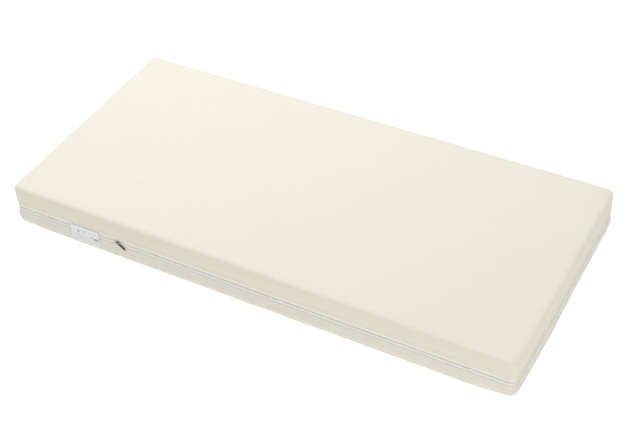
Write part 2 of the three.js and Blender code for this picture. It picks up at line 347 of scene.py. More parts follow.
def knit_material(name, light, shade_tone):
    """Stretch knit with a faint woven sprig. The walls are painted a deeper tone than the flat faces:
    painted shade, set by the tilt of the normal.
    """
    tree = Tree(name, Sheen_Weight=0.15, Sheen_Roughness=0.6)
    cloth = tree.coordinates("UV")
    _, _, upward = tree.parts(tree.coordinates("Normal"))
    # painted shade: the steeper the face, the more it takes the darker wall tone, standing in for the shade
    # on the walls
    wall_shade_mask = tree.ramp(tree.math("ABSOLUTE", upward), 0.0, 0.95, 1.0, 0.0)
    blotch = tree.noise(cloth, 6.0, 3.0)
    mask = sprig_mask(tree, cloth)
    flat = tree.mix(blotch, [0.985 * c for c in light[:3]] + [1], light)
    flat = tree.mix(tree.math("MULTIPLY", mask, 0.13), flat, (0.90, 0.89, 0.86, 1))
    colour = tree.mix(wall_shade_mask, flat, shade_tone)
    fuzz = tree.noise(cloth, 900.0, 2.0)
    stitches = knit_height(tree, cloth, 1.9 * MM, 1.5 * MM)
    relief = tree.bump(stitches, 0.16 * MM)
    relief = tree.bump(fuzz, 0.10 * MM, relief)
    relief = tree.bump(mask, 0.30 * MM, relief)
    soft = tree.bump(tree.noise(cloth, 9.0, 3.0), 1.2 * MM, relief)
    roughness = tree.ramp(mask, 0.0, 1.0, 0.92, 0.80)
    return tree.finish(colour, soft, roughness)


def lining_material():
    tree = Tree("cover_lining", Sheen_Weight=0.1)
    cloth = tree.coordinates("UV")
    across, along, _ = tree.parts(tree.place(cloth, scale=(0.9 * MM, 0.9 * MM, 1)))
    weave = tree.math(
        "MULTIPLY",
        tree.math("SINE", tree.math("MULTIPLY", across, TURN)),
        tree.math("SINE", tree.math("MULTIPLY", along, TURN)),
    )
    tone = tree.mix(tree.noise(cloth, 25.0, 3.0), (0.78, 0.77, 0.73, 1), (0.84, 0.83, 0.79, 1))
    return tree.finish(tone, tree.bump(weave, 0.08 * MM), tree.ramp(weave, -1, 1, 0.85, 0.95))


def tape_material():
    """Woven polyester tape: a fine herringbone that runs along the zip."""
    tree = Tree("zip_tape", Sheen_Weight=0.08)
    along, across, _ = tree.parts(tree.coordinates("UV"))
    band = tree.math("PINGPONG", across, 1.1 * MM)
    slant = tree.math("ADD", band, along)
    ribs = tree.math("SINE", tree.math("MULTIPLY", slant, TURN / (0.75 * MM)))
    tone = tree.mix(tree.ramp(ribs, -1, 1), TAPE_SHADE, TAPE_WHITE)
    tone = tree.mix(tree.noise(tree.coordinates("UV"), 30.0, 2.0), tone, TAPE_WHITE)
    return tree.finish(tone, tree.bump(ribs, 0.09 * MM), tree.ramp(ribs, -1, 1, 0.75, 0.9))


def coil_material():
    """Satin white nylon with fine drawing marks."""
    tree = Tree("zip_coil", Specular_IOR_Level=0.5, Subsurface_Weight=0.5, Subsurface_Scale=0.003)
    tree.shader.inputs["Subsurface Radius"].default_value = (1, 1, 1)
    place = tree.coordinates("Object")
    marks = tree.noise(place, 1400.0, 2.0)
    tone = tree.mix(marks, (0.93, 0.915, 0.865, 1), (0.97, 0.955, 0.905, 1))
    return tree.finish(tone, tree.bump(marks, 0.02 * MM), tree.ramp(marks, 0.2, 0.8, 0.34, 0.5))


def thread_material():
    """Spun sewing thread, twisted."""
    tree = Tree("sewing_thread", Sheen_Weight=0.2)
    place = tree.coordinates("Object")
    twist = tree.node("ShaderNodeTexWave", place)
    wave = twist.node
    wave.inputs["Scale"].default_value = 900.0
    wave.bands_direction = "DIAGONAL"
    tone = tree.mix(twist, (0.76, 0.74, 0.66, 1), (0.86, 0.84, 0.77, 1))
    return tree.finish(tone, tree.bump(wave.outputs["Fac"], 0.05 * MM), tree.ramp(twist, 0, 1, 0.7, 0.85))


def seam_material():
    """The knit folded into a corner seam, painted a deeper tone all along than the flat knit: painted shade
    of the fold, with a random mottle.
    """
    tree = Tree("corner_seam", Sheen_Weight=0.12)
    place = tree.coordinates("Object")
    cloth = tree.noise(place, 700.0, 3.0)
    # painted shade: both tones are darker than the knit's top, standing in for the shade in the fold
    tone = tree.mix(cloth, (0.76, 0.71, 0.58, 1), (0.82, 0.77, 0.64, 1))
    return tree.finish(tone, tree.bump(cloth, 0.15 * MM), tree.ramp(cloth, 0.2, 0.8, 0.95, 0.85))


# generic printed bars and boxes on the label: (across, down, half width, half height, darkness), millimetres
LABEL_MARKS = [
    (32, 25, 5.0, 4.5, 0.75),
    (58, 21, 2.4, 6.0, 0.5),
    (86, 38, 8.0, 3.5, 0.42),
    (106, 40, 10.5, 4.5, 0.75),
    (80, 22, 6.0, 4.5, 0.18),
    (100, 22, 6.0, 4.5, 0.18),
    *[(40, 39 + 4.5 * row, 28.0 - 3.0 * (row % 3), 0.8, 0.3) for row in range(6)],
    *[(97, 52 + 4.5 * row, 17.0 - 4.0 * (row % 2), 0.8, 0.3) for row in range(3)],
]


def label_material():
    """White satin ribbon with a selvedge and a few plain printed bars."""
    tree = Tree("label_satin", Specular_IOR_Level=0.55, Sheen_Weight=0.1)
    cloth = tree.place(tree.coordinates("UV"), scale=(1 / 120, 1 / 72, 1))
    across, down, _ = tree.parts(cloth)
    printed = None
    for x, y, half_width, half_height, darkness in LABEL_MARKS:
        beside = tree.math("SUBTRACT", tree.math("ABSOLUTE", tree.math("SUBTRACT", across, x)), half_width)
        above = tree.math("SUBTRACT", tree.math("ABSOLUTE", tree.math("SUBTRACT", down, y)), half_height)
        mark = tree.ramp(tree.math("MAXIMUM", beside, above), -0.4, 0.2, darkness, 0.0)
        printed = mark if printed is None else tree.math("MAXIMUM", printed, mark)
    weave = tree.math("SINE", tree.math("MULTIPLY", tree.math("ADD", across, down), TURN / 0.7))
    worn = tree.ramp(tree.noise(cloth, 0.9, 3.0), 0.3, 0.6, 0.75, 1.0)
    white = tree.mix(tree.ramp(weave, -1, 1), (0.72, 0.725, 0.72, 1), (0.77, 0.775, 0.77, 1))
    colour = tree.mix(tree.math("MULTIPLY", printed, worn), white, (0.16, 0.16, 0.17, 1))
    return tree.finish(colour, tree.bump(weave, 0.05 * MM), tree.ramp(weave, -1, 1, 0.42, 0.6))


def metal_material(name, tone, roughness, wear):
    """Cast zinc with a plated or lacquered skin: fine tumbling marks and brighter worn edges."""
    tree = Tree(name, Metallic=1.0)
    place = tree.coordinates("Object")
    fine = tree.noise(place, 900.0, 3.0)
    broad = tree.noise(place, 160.0, 2.0)
    edges = tree.node("ShaderNodeNewGeometry").node.outputs["Pointiness"]
    worn = tree.ramp(edges, 0.53, 0.62)
    base = tree.mix(broad, (*(0.85 * c for c in tone), 1), (*(1.1 * c for c in tone), 1))
    colour = tree.mix(tree.math("MULTIPLY", worn, wear), base, (0.55, 0.54, 0.52, 1))
    rough = tree.ramp(fine, 0.3, 0.7, roughness - 0.07, roughness + 0.1)
    return tree.finish(colour, tree.bump(fine, 0.03 * MM), rough)


def foam_material(name, tone):
    """Open-cell foam: pores about a millimetre across, painted darker in their pits as painted shade, with
    faint marks from the saw and a random mottle.
    """
    tree = Tree(name, Roughness=0.95, Sheen_Weight=0.1)
    place = tree.coordinates("Object")
    cells = tree.tree.nodes.new("ShaderNodeTexVoronoi")
    tree.put(cells.inputs["Vector"], place)
    cells.inputs["Scale"].default_value = 850.0
    pores = cells.outputs["Distance"]
    coarse = tree.noise(place, 60.0, 3.0)
    sawn = tree.noise(tree.place(place, scale=(1, 1, 0.02)), 12.0, 2.0)
    light = (*(min(1, 1.03 * c) for c in tone), 1)
    shade_tone = (*(0.84 * c for c in tone), 1)
    # painted shade: the pits of the pores take the darker tone; the coarse mottle below is random tone
    colour = tree.mix(tree.ramp(pores, 0.1, 0.75), shade_tone, light)
    colour = tree.mix(tree.math("MULTIPLY", coarse, 0.25), colour, shade_tone)
    relief = tree.bump(pores, 0.35 * MM)
    relief = tree.bump(sawn, 0.5 * MM, relief, 0.5)
    return tree.finish(colour, relief, tree.ramp(pores, 0, 1, 0.98, 0.9))


# ---- meshes ----
def mesh_object(name, points, faces, uvs=None):
    mesh = bpy.data.meshes.new(name)
    mesh.from_pydata([tuple(p) for p in points], [], [tuple(f) for f in faces])
    if uvs is not None:
        layer = mesh.uv_layers.new(name="cloth")
        layer.data.foreach_set("uv", np.asarray(uvs, np.float32).ravel())
    mesh.polygons.foreach_set("use_smooth", [True] * len(mesh.polygons))
    mesh.update()
    obj = bpy.data.objects.new(name, mesh)
    bpy.context.collection.objects.link(obj)
    return obj


def coordinates_of(obj):
    found = np.empty(3 * len(obj.data.vertices), np.float32)
    obj.data.vertices.foreach_get("co", found)
    return found.reshape(-1, 3).astype(float)


def set_coordinates(obj, points):
    obj.data.vertices.foreach_set("co", np.asarray(points, np.float32).ravel())
    obj.data.update()


def apply_modifiers(obj):
    graph = bpy.context.evaluated_depsgraph_get()
    made = bpy.data.meshes.new_from_object(obj.evaluated_get(graph))
    old = obj.data
    obj.modifiers.clear()
    obj.data = made
    bpy.data.meshes.remove(old)
    made.name = obj.name


def finish_piece(obj, material, slot, body, *nodes):
    if material is not None:
        obj.data.materials.clear()
        obj.data.materials.append(material)
    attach(obj, body)
    if nodes:
        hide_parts(*nodes)
    return obj


# ---- the wall's outline, which the zip, hems and stitches follow ----
def wall_outline():
    """Rows of distance, x, y and outward angle round the cover, from where the zip's ends meet.

    It runs towards the foot end first, which is clockwise from above.
    """
    straight_x, straight_y = HALF_LENGTH - CORNER_R, HALF_WIDTH - CORNER_R
    runs = [ZIP_END_X + straight_x, 2 * straight_y, 2 * straight_x, 2 * straight_y, straight_x - ZIP_END_X]
    x, y, angle, distance = ZIP_END_X, -HALF_WIDTH, -math.pi / 2, 0.0
    rows = [(distance, x, y, angle)]
    step = math.pi / 2 / CORNER_STEPS
    for number, length in enumerate(runs):
        x, y = x + length * math.sin(angle), y - length * math.cos(angle)
        distance += length
        rows.append((distance, x, y, angle))
        if number == len(runs) - 1:
            break
        centre = x - CORNER_R * math.cos(angle), y - CORNER_R * math.sin(angle)
        for _ in range(CORNER_STEPS):
            angle -= step
            distance += CORNER_R * step
            x, y = centre[0] + CORNER_R * math.cos(angle), centre[1] + CORNER_R * math.sin(angle)
            rows.append((distance, x, y, angle))
    return np.array(rows)


OUTLINE = wall_outline()
ROUND = OUTLINE[-1, 0]


def around(distance, inset):
    """Plan point and outward normal at a distance round the wall, inset from the cover's face."""
    x, y, angle = (np.interp(distance, OUTLINE[:, 0], OUTLINE[:, k]) for k in (1, 2, 3))
    normal = np.stack([np.cos(angle), np.sin(angle)], -1)
    return np.stack([x, y], -1) - np.multiply(inset, normal.T).T, normal


def path_steps(longest):
    """Distances round the wall, closer together on the corners."""
    steps = [
        np.linspace(a, b, max(2, math.ceil((b - a) / longest) + 1))[:-1]
        for a, b in zip(OUTLINE[:-1, 0], OUTLINE[1:, 0])
    ]
    return np.append(np.concatenate(steps), ROUND)


def sweep(name, section, distances):
    """A solid strip with the given (inset, height) section, swept round the wall."""
    section = np.asarray(section)
    count, sides = len(distances), len(section)
    points = np.empty((count, sides, 3))
    for k, (inset, height) in enumerate(section):
        points[:, k, :2] = around(distances, inset)[0]
        points[:, k, 2] = height
    steps = np.linalg.norm(section - np.roll(section, -1, axis=0), axis=1)
    girth = np.concatenate([[0], np.cumsum(steps)])
    faces, uvs = [], []
    for i in range(count - 1):
        for k in range(sides):
            n = (k + 1) % sides
            faces.append((i * sides + k, i * sides + n, (i + 1) * sides + n, (i + 1) * sides + k))
            uvs += [(distances[i], girth[k]), (distances[i], girth[k + 1]),
                    (distances[i + 1], girth[k + 1]), (distances[i + 1], girth[k])]
    for start, order in ((0, range(sides - 1, -1, -1)), ((count - 1) * sides, range(sides))):
        faces.append([start + k for k in order])
        uvs += [tuple(section[k]) for k in order]
    return face_outward(mesh_object(name, points.reshape(-1, 3), faces, uvs))


def closed_tube(name, rings):
    """A solid tube through rings of points, given as an array of rings by sides by three."""
    count, sides = rings.shape[:2]
    i, k = np.meshgrid(np.arange(count - 1), np.arange(sides), indexing="ij")
    n = (k + 1) % sides
    quads = [i * sides + k, i * sides + n, (i + 1) * sides + n, (i + 1) * sides + k]
    faces = np.stack(quads, -1).reshape(-1, 4).tolist()
    last = count * sides - 1
    faces += [list(range(sides)), list(range(last, last - sides, -1))]
    return face_outward(mesh_object(name, rings.reshape(-1, 3), faces))


def tube(name, centres, radius, sides):
    """A round closed tube along a path of points."""
    along = np.gradient(centres, axis=0)
    along /= np.linalg.norm(along, axis=1, keepdims=True)
    side = np.cross(along, (0.36, 0.48, 0.8))
    side /= np.linalg.norm(side, axis=1, keepdims=True)
    over = np.cross(along, side)
    turn = np.linspace(0, TURN, sides, endpoint=False)
    rings = (centres[:, None] + radius * np.cos(turn)[None, :, None] * side[:, None]
             + radius * np.sin(turn)[None, :, None] * over[:, None])
    return closed_tube(name, rings)


def rim_of(nx, ny):
    """Places (i, j) round the edge of a grid, in order."""
    first = [(i, 0) for i in range(nx - 1)] + [(nx - 1, j) for j in range(ny - 1)]
    return first + [(i, ny - 1) for i in range(nx - 1, 0, -1)] + [(0, j) for j in range(ny - 1, 0, -1)]


def grid_quads(nx, ny):
    """Corners of each cell of a grid whose points are numbered along y first."""
    return [
        (i * ny + j, (i + 1) * ny + j, (i + 1) * ny + j + 1, i * ny + j + 1)
        for i in range(nx - 1) for j in range(ny - 1)
    ]


def face_outward(obj):
    """Turns every face of closed solids outward."""
    mesh = bmesh.new()
    mesh.from_mesh(obj.data)
    bmesh.ops.recalc_face_normals(mesh, faces=mesh.faces)
    mesh.to_mesh(obj.data)
    mesh.free()
    return obj


# one stitch: rings of points between its two tips, as (along, share of full width)
STITCH_RINGS = [(-0.8, 0.62), (0.0, 1.0), (0.8, 0.62)]
STITCH_SIDES = 6


def beads(name, centres, along, out, size):
    """A row of sewn stitches: a small rounded bead at each centre, lying along the seam."""
    half_length, half_width, half_height = size
    across = np.cross(out, along)
    rings = [centres - along * half_length]
    for where, share in STITCH_RINGS:
        for angle in np.linspace(0, TURN, STITCH_SIDES, endpoint=False):
            rings.append(
                centres + along * (half_length * where)
                + across * (half_width * share * math.cos(angle))
                + out * (half_height * share * math.sin(angle))
            )
    rings.append(centres + along * half_length)
    points = np.stack(rings, 1).reshape(-1, 3)
    each = len(rings)
    last = each - 1 - STITCH_SIDES
    pairs = [(k, (k + 1) % STITCH_SIDES) for k in range(STITCH_SIDES)]
    shape = [(0, 1 + n, 1 + k) for k, n in pairs]
    for low in range(1, last, STITCH_SIDES):
        high = low + STITCH_SIDES
        shape += [(low + k, low + n, high + n, high + k) for k, n in pairs]
    shape += [(each - 1, last + k, last + n) for k, n in pairs]
    faces = [[bead * each + index for index in face] for bead in range(len(centres)) for face in shape]
    return face_outward(mesh_object(name, points, faces))


# ---- the cover ----
RIM_INSETS = np.array([0, 3, 6.5, 10.5, 15, 21, 29, 39]) * MM  # of the flat faces' outer grid lines
INNER_INSET = 50 * MM     # where the even grid starts
# the wall's rings, measured from the rim and, over the rounded edge, from the flat face
HEM_RINGS = [0, 1.5, 3.5, 6, 8.2, 9.4, 11, 14, 18, 23]
WALL_RINGS = {"upper": [29, 35, 42, 49, 55, 60], "lower": [28, 33, 38]}
EDGE_RINGS = {"upper": [12, 8.5, 5.5, 2.8], "lower": [10, 7, 4.5, 2.2]}


def grid_lines(half_size):
    """Positions across the mattress, close together near the two edges."""
    last = half_size - INNER_INSET
    inner = np.linspace(-last, last, round(2 * last / CLOTH_STEP) + 1)
    return np.concatenate([RIM_INSETS - half_size, inner, (half_size - RIM_INSETS)[::-1]])


def wall_levels(half):
    """Heights of the wall's rings, from the flat face to the rim."""
    rings = [r * MM for r in HEM_RINGS + WALL_RINGS[half.side] if r * MM < half.wall - EDGE_R + 2 * MM]
    rings += [half.wall - r * MM for r in EDGE_RINGS[half.side]]
    return sorted([half.rim_z + half.sign * r for r in rings], reverse=half.upper)


def soften(box_points, half):
    """Rounds the corners and the long edge of a sharp box's face and walls.

    Returns the moved points and each one's outward direction in plan.
    """
    x, y, z = box_points.T
    cx = np.clip(x, CORNER_R - HALF_LENGTH, HALF_LENGTH - CORNER_R)
    cy = np.clip(y, CORNER_R - HALF_WIDTH, HALF_WIDTH - CORNER_R)
    dx, dy = x - cx, y - cy
    reach = np.maximum(np.abs(dx), np.abs(dy))
    size = np.hypot(dx, dy)
    size[size == 0] = 1
    dx, dy = dx / size, dy / size
    ring = CORNER_R - half.edge
    u = np.clip(reach - ring, 0, None)
    v = np.clip(half.edge - half.sign * (half.flat_z - z), 0, None)
    length = np.hypot(u, v)
    both = (u > 0) & (v > 0)
    ratio = np.where(both, np.maximum(u, v) / np.where(length == 0, 1, length), 1)
    reach = np.where(both, ring + u * ratio, reach)
    z = np.where(both, half.flat_z - half.sign * (half.edge - v * ratio), z)
    return np.stack([cx + dx * reach, cy + dy * reach, z], -1), np.stack([dx, dy, 0 * dx], -1)


def low_bulge(points):
    """How far the lower walls stand out: more in the middle of a side than near its corners."""
    def rise(place, middle, spread):
        return np.exp(-((place - middle) / spread) ** 2)

    on_end = np.abs(points[:, 0]) > HALF_LENGTH - 1e-6
    end = END_BULGE * rise(points[:, 1], END_MIDDLE, END_SPREAD)
    side = SIDE_BULGE * rise(points[:, 0], SIDE_MIDDLE, SIDE_SPREAD)
    return LOW_BULGE + np.where(on_end, end, side)


def corner_lift(points):
    """How far the underside, and the foam in it, rises towards each corner, easing out up the wall."""
    corner = np.array([HALF_LENGTH, HALF_WIDTH])
    away = np.linalg.norm(corner - np.abs(points[:, :2]), axis=1)
    near = np.clip(1 - away / LIFT_REACH, 0, 1) ** 2
    most = np.where((points[:, 0] > 0) & (points[:, 1] < 0), NEAR_HEAD_LIFT, CORNER_LIFT)
    return most * near * np.clip(1 - points[:, 2] / (BASE_HIGH.z - HEM), 0, 1)


def shape_half(box_points, half):
    """Rounds the sharp box and bellies its walls out. Returns the points and their outward directions."""
    rounded, outward = soften(box_points, half)
    free = np.abs(box_points[:, 2] - half.rim_z) - HEM
    belly = np.sin(math.pi * np.clip(free / (half.wall - HEM), 0, 1) ** 0.8)
    on_wall = box_points[:, 2] != half.flat_z
    amount = BULGE if half.upper else low_bulge(box_points)
    rounded += outward * (amount * belly * on_wall)[:, None]
    if not half.upper:
        rounded[:, 2] += corner_lift(rounded)
    return rounded, outward


def unrolled(half, side, point):
    """Where a point of one wall lies on the flat cloth. The sides are near, head, far and foot."""
    down = abs(half.flat_z - point[2])
    return [
        (point[0], -HALF_WIDTH - down),
        (HALF_LENGTH + down, point[1]),
        (point[0], HALF_WIDTH + down),
        (-HALF_LENGTH - down, point[1]),
    ][side]


def half_cover(half):
    """One half of the cover as a single layer: the flat face, then wall rings to the zip.

    Returns the object and, for each vertex, its outward direction in plan and its sharp-box place.
    """
    xs, ys = grid_lines(HALF_LENGTH), grid_lines(HALF_WIDTH)
    nx, ny = len(xs), len(ys)
    rim, levels = rim_of(nx, ny), wall_levels(half)
    side_of = [0] * (nx - 1) + [1] * (ny - 1) + [2] * (nx - 1) + [3] * (ny - 1)
    count = len(rim)
    flat = [(x, y, half.flat_z) for x in xs for y in ys]
    box_points = np.array(flat + [(xs[i], ys[j], z) for z in levels for i, j in rim])

    faces = grid_quads(nx, ny)
    uvs = [[flat[c][:2] for c in corners] for corners in faces]
    rows = [[i * ny + j for i, j in rim]]
    rows += [[nx * ny + k * count + r for r in range(count)] for k in range(len(levels))]
    for upper, lower in zip(rows, rows[1:]):
        for r in range(count):
            n = (r + 1) % count
            corners = (upper[r], lower[r], lower[n], upper[n])
            faces.append(corners)
            uvs.append([unrolled(half, side_of[r], box_points[c]) for c in corners])
    if not half.upper:
        faces = [f[::-1] for f in faces]
        uvs = [u[::-1] for u in uvs]
    rounded, outward = shape_half(box_points, half)
    obj = mesh_object(f"{half.side}_cover_cloth", rounded, faces, [c for u in uvs for c in u])
    return obj, outward, box_points


def swell(obj, pinned):
    """Runs the cloth under a light pressure and keeps each point's travel, eased to SWELL_CAP."""
    scene = bpy.context.scene
    group = obj.vertex_groups.new(name="sewn")
    for weight in sorted(set(np.round(pinned, 2).tolist())):
        chosen = np.flatnonzero(np.round(pinned, 2) == weight).tolist()
        group.add(chosen, weight, "REPLACE")
    start = coordinates_of(obj)
    cloth = obj.modifiers.new("cloth", "CLOTH")
    settings = cloth.settings
    settings.vertex_group_mass = "sewn"
    settings.quality = 4
    settings.mass = 0.3
    settings.tension_stiffness = settings.compression_stiffness = 12
    settings.shear_stiffness = 4
    settings.bending_stiffness = 0.4
    settings.use_pressure = True
    settings.uniform_pressure_force = SWELL_PRESSURE
    settings.shrink_min = -SWELL_SLACK
    settings.effector_weights.gravity = 0
    cloth.collision_settings.use_collision = False
    cloth.point_cache.frame_start, cloth.point_cache.frame_end = 1, SWELL_FRAMES
    for number in range(1, SWELL_FRAMES + 1):
        scene.frame_set(number)
    graph = bpy.context.evaluated_depsgraph_get()
    made = obj.evaluated_get(graph).to_mesh()
    after = np.empty(3 * len(made.vertices), np.float32)
    made.vertices.foreach_get("co", after)
    obj.evaluated_get(graph).to_mesh_clear()
    obj.modifiers.clear()
    obj.vertex_groups.clear()
    scene.frame_set(1)
    travel = after.reshape(-1, 3).astype(float) - start
    size = np.linalg.norm(travel, axis=1, keepdims=True)
    eased = travel * (SWELL_CAP * np.tanh(size / SWELL_CAP) / np.maximum(size, 1e-9))
    set_coordinates(obj, start + eased)


def add_cover_half(half):
    """The cloth of one half: swelled over the foam, then given its thickness and lining."""
    obj, outward, box_points = half_cover(half)
    from_rim = np.abs(box_points[:, 2] - half.rim_z)
    pinned = np.clip(1 - (from_rim - HEM) / PIN_FADE, 0, 1)
    if not half.upper:
        pinned = np.maximum(pinned, box_points[:, 2] == half.flat_z)
    swell(obj, pinned)
    hem = np.clip((HEM + HEM_SLOPE / 2 - from_rim) / HEM_SLOPE, 0, 1)
    set_coordinates(obj, coordinates_of(obj) + outward * (hem * HEM_PROUD)[:, None])

    divide = obj.modifiers.new("finer", "SUBSURF")
    divide.levels = divide.render_levels = 1
    divide.boundary_smooth = "PRESERVE_CORNERS"
    thick = obj.modifiers.new("thick", "SOLIDIFY")
    thick.thickness, thick.offset = CLOTH_THICK, -1
    thick.material_offset = 1
    obj.data.materials.append(KNIT_TOP if half.upper else KNIT_BASE)
    obj.data.materials.append(LINING)
    apply_modifiers(obj)
    return finish_piece(obj, None, half.slot, half.body, half.node)


# ---- sewing on the cover ----
def add_hem_stitches(half):
    """The row of stitches that holds the hem to the tape."""
    distances = np.arange(STITCH_PITCH / 2, ROUND, STITCH_PITCH)
    plan, normal = around(distances, -HEM_PROUD - STITCH_PROUD)
    level = np.zeros(len(plan))
    centres = np.column_stack([plan, level + half.rim_z + half.sign * STITCH_FROM_EDGE])
    out = np.column_stack([normal, level])
    along = np.column_stack([-normal[:, 1], normal[:, 0], level])
    obj = beads(f"hem_stitches_{half.side}", centres, along, out, STITCH_SIZE)
    finish_piece(obj, THREAD, "zip_tape", half.body)


# across and out from the cloth, in millimetres
SEAM_SECTION = [(-1.3, -0.5), (-0.9, 0.25), (-0.35, 0.55), (0.35, 0.55), (0.9, 0.25), (1.3, -0.5)]
CORNERS = {"foot_near": (-1, -1), "head_near": (1, -1), "head_far": (1, 1), "foot_far": (-1, 1)}


def corner_path(cloth, half, sx, sy):
    """Points on the cloth up one corner and over its edge, with the cloth's normals."""
    corner = np.array([sx * (HALF_LENGTH - CORNER_R), sy * (HALF_WIDTH - CORNER_R)])
    out = np.array([sx, sy]) / math.sqrt(2)
    face_z = HEIGHT if half.upper else 0.0
    straight = abs(face_z - half.rim_z) - half.edge
    rays = []
    for run in np.arange(SEAM_START, straight, SEAM_STEP):
        rays.append(([*(corner + out * RAY_START), half.rim_z + half.sign * run], [*-out, 0]))
    centre = np.array([*(corner + out * (CORNER_R - EDGE_R)), face_z - half.sign * half.edge])
    for angle in SEAM_ANGLES:
        aim = np.array([*(out * math.cos(angle)), half.sign * math.sin(angle)])
        rays.append((centre + aim * RAY_START, -aim))
    hits = [cloth.ray_cast(Vector(start), Vector(direction))[:2] for start, direction in rays]
    found = [(place, normal) for place, normal in hits if place is not None]
    return np.array([place for place, _ in found]), np.array([normal for _, normal in found])


def add_corner_seams(cover, half):
    """The dart that shapes each corner: a narrow welt up the corner, fading out over the edge."""
    cloth = BVHTree.FromObject(cover, bpy.context.evaluated_depsgraph_get())
    for name, (sx, sy) in CORNERS.items():
        path, normals = corner_path(cloth, half, sx, sy)
        along = np.gradient(path, axis=0)
        along /= np.linalg.norm(along, axis=1, keepdims=True)
        side = np.cross(along, normals)
        fade = np.minimum(1, np.arange(len(path))[::-1] / SEAM_FADE)[:, None]
        width, sunk = 0.3 + 0.7 * fade, 0.6 * MM * (1 - fade)
        rings = [path + side * (a * MM * width) + normals * (b * MM - sunk) for a, b in SEAM_SECTION]
        welt = closed_tube(f"corner_seam_{half.side}_{name}", np.stack(rings, 1))
        finish_piece(welt, SEAM, half.slot, half.body)


# ---- zip ----
def add_tape(half):
    """The woven tape of one half, from the meeting line to behind the hem."""
    rim = abs(half.rim_z - ZIP_Z)
    near, far = ZIP_Z + half.sign * TAPE_EDGE, ZIP_Z + half.sign * (rim + TAPE_HIDDEN)
    back = TAPE_FACE + TAPE_THICK
    section = [
        (TAPE_FACE + 0.1 * MM, near),
        (TAPE_FACE, near + half.sign * 0.3 * MM),
        (TAPE_FACE, far - half.sign * SELVEDGE),
        (TAPE_FACE - 0.12 * MM, far),
        (back, far),
        (back, near),
    ]
    obj = sweep(f"zip_tape_{half.side}_woven", section, path_steps(TAPE_STEP))
    finish_piece(obj, TAPE, "zip_tape", half.body, f"zip_tape_{half.side}")


def add_coil(half):
    """One row of the zip: a nylon wire wound along the tape's edge, in step with the other row."""
    loops = int((ROUND - COIL_BARE) / TOOTH_PITCH)
    phase = np.arange(loops * TOOTH_POINTS) / TOOTH_POINTS
    distances = (phase + (0.5 if half.upper else 0.0)) * TOOTH_PITCH
    plan, normal = around(distances, TOOTH_INSET)
    height = ZIP_Z + half.sign * (TOOTH_CENTRE - TOOTH_REACH * np.cos(TURN * phase))
    plan = plan + normal * (TOOTH_DEEP * np.sin(TURN * phase))[:, None]
    centres = np.column_stack([plan, height])
    obj = tube(f"zip_coil_{half.side}_wound", centres, TOOTH_WIRE, WIRE_SIDES)
    finish_piece(obj, COIL, "zip_coil", half.body, f"zip_coil_{half.side}")


def sheet_grid(name, place, across, down, thick):
    """A thin cloth from place(u, v), with u and v from 0 to 1, given a thickness."""
    spots = [(i / across, j / down) for j in range(down + 1) for i in range(across + 1)]
    faces = [(a, d, c, b) for a, b, c, d in grid_quads(down + 1, across + 1)]
    obj = mesh_object(name, [place(u, v) for u, v in spots], faces, [spots[c] for f in faces for c in f])
    thicken = obj.modifiers.new("thick", "SOLIDIFY")
    thicken.thickness, thicken.offset = thick, 0
    apply_modifiers(obj)
    return obj


def add_end_tab():
    """Folded cloth behind the place where the zip's two ends meet."""
    middle = (TAB_LOW + TAB_HIGH) / 2
    size = TAB_HIGH - TAB_LOW

    def place(u, v):
        crown = 0.25 * MM * math.sin(math.pi * u) * math.sin(math.pi * v)
        return middle.x + (u - 0.5) * size.x, middle.y - crown, middle.z + (0.5 - v) * size.z

    obj = sheet_grid("zip_end_tab_cloth", place, 12, 16, 0.8 * MM)
    finish_piece(obj, LINING, "knit_base", "lower_cover", "zip_end_tab")


# ---- care label ----
LABEL_SIZE = LABEL_HIGH.x - LABEL_LOW.x, LABEL_HIGH.z - LABEL_LOW.z
LABEL_BACK = -HALF_WIDTH - 0.9 * MM
LABEL_FLARE = LABEL_BACK - LABEL_LOW.y - 0.8 * MM
LABEL_THICK = 0.45 * MM
LABEL_STITCH_PITCH = 2.6 * MM
LABEL_SEWN = 0.035        # of the label's height, down to its stitches
LABEL_STITCH_SIZE = 0.95 * MM, 0.26 * MM, 0.2 * MM


def label_place(u, v):
    """The label's cloth: straight at its stitches, then a soft curve out with a little ripple."""
    ripple = 1.1 * MM * v * v * math.sin(TURN * (1.2 * u + 0.1))
    curl = 1.6 * MM * v ** 3 * (2 * u - 1) ** 4
    out = LABEL_FLARE * v * v * (0.86 + 0.1 * u) + 0.5 * ripple - curl
    drop = LABEL_SIZE[1] * v - 0.6 * MM * v * math.sin(math.pi * u)
    return LABEL_LOW.x + LABEL_SIZE[0] * u, LABEL_BACK - out, LABEL_HIGH.z - drop


def add_label():
    """The satin label, sewn to the upper half by its top edge."""
    label = sheet_grid("care_label_satin", label_place, 48, 32, LABEL_THICK)
    finish_piece(label, LABEL, "label_satin", "label", "care_label")
    count = round(LABEL_SIZE[0] / LABEL_STITCH_PITCH)
    spots = np.array([label_place((n + 0.5) / count, LABEL_SEWN) for n in range(count)])
    spots[:, 1] -= LABEL_THICK / 2 + STITCH_PROUD
    along = np.tile([1.0, 0, 0], (count, 1))
    out = np.tile([0, -1.0, 0], (count, 1))
    sewn = beads("label_stitches", spots, along, out, LABEL_STITCH_SIZE)
    finish_piece(sewn, THREAD, "label_satin", "label")


# ---- foam core ----
def cut_lines(low, high, cells):
    """Grid positions along a pad, with close lines at its two ends and at the edges of its slits."""
    lines = [low, high, *(low + EDGE_LINES), *(high - EDGE_LINES)]
    for border in np.linspace(low, high, cells + 1)[1:-1]:
        for side in (-1, 1):
            edge = border + side * SLIT / 2
            lines += [edge - side * 0.02 * MM, *(edge + side * SLIT_LINES)]
    inner = np.linspace(low, high, max(2, round((high - low) / FOAM_STEP)) + 1)
    taken = np.array(lines)
    lines += [x for x in inner if np.min(np.abs(taken - x)) > LINE_GAP]
    return np.unique(np.round(lines, 7))


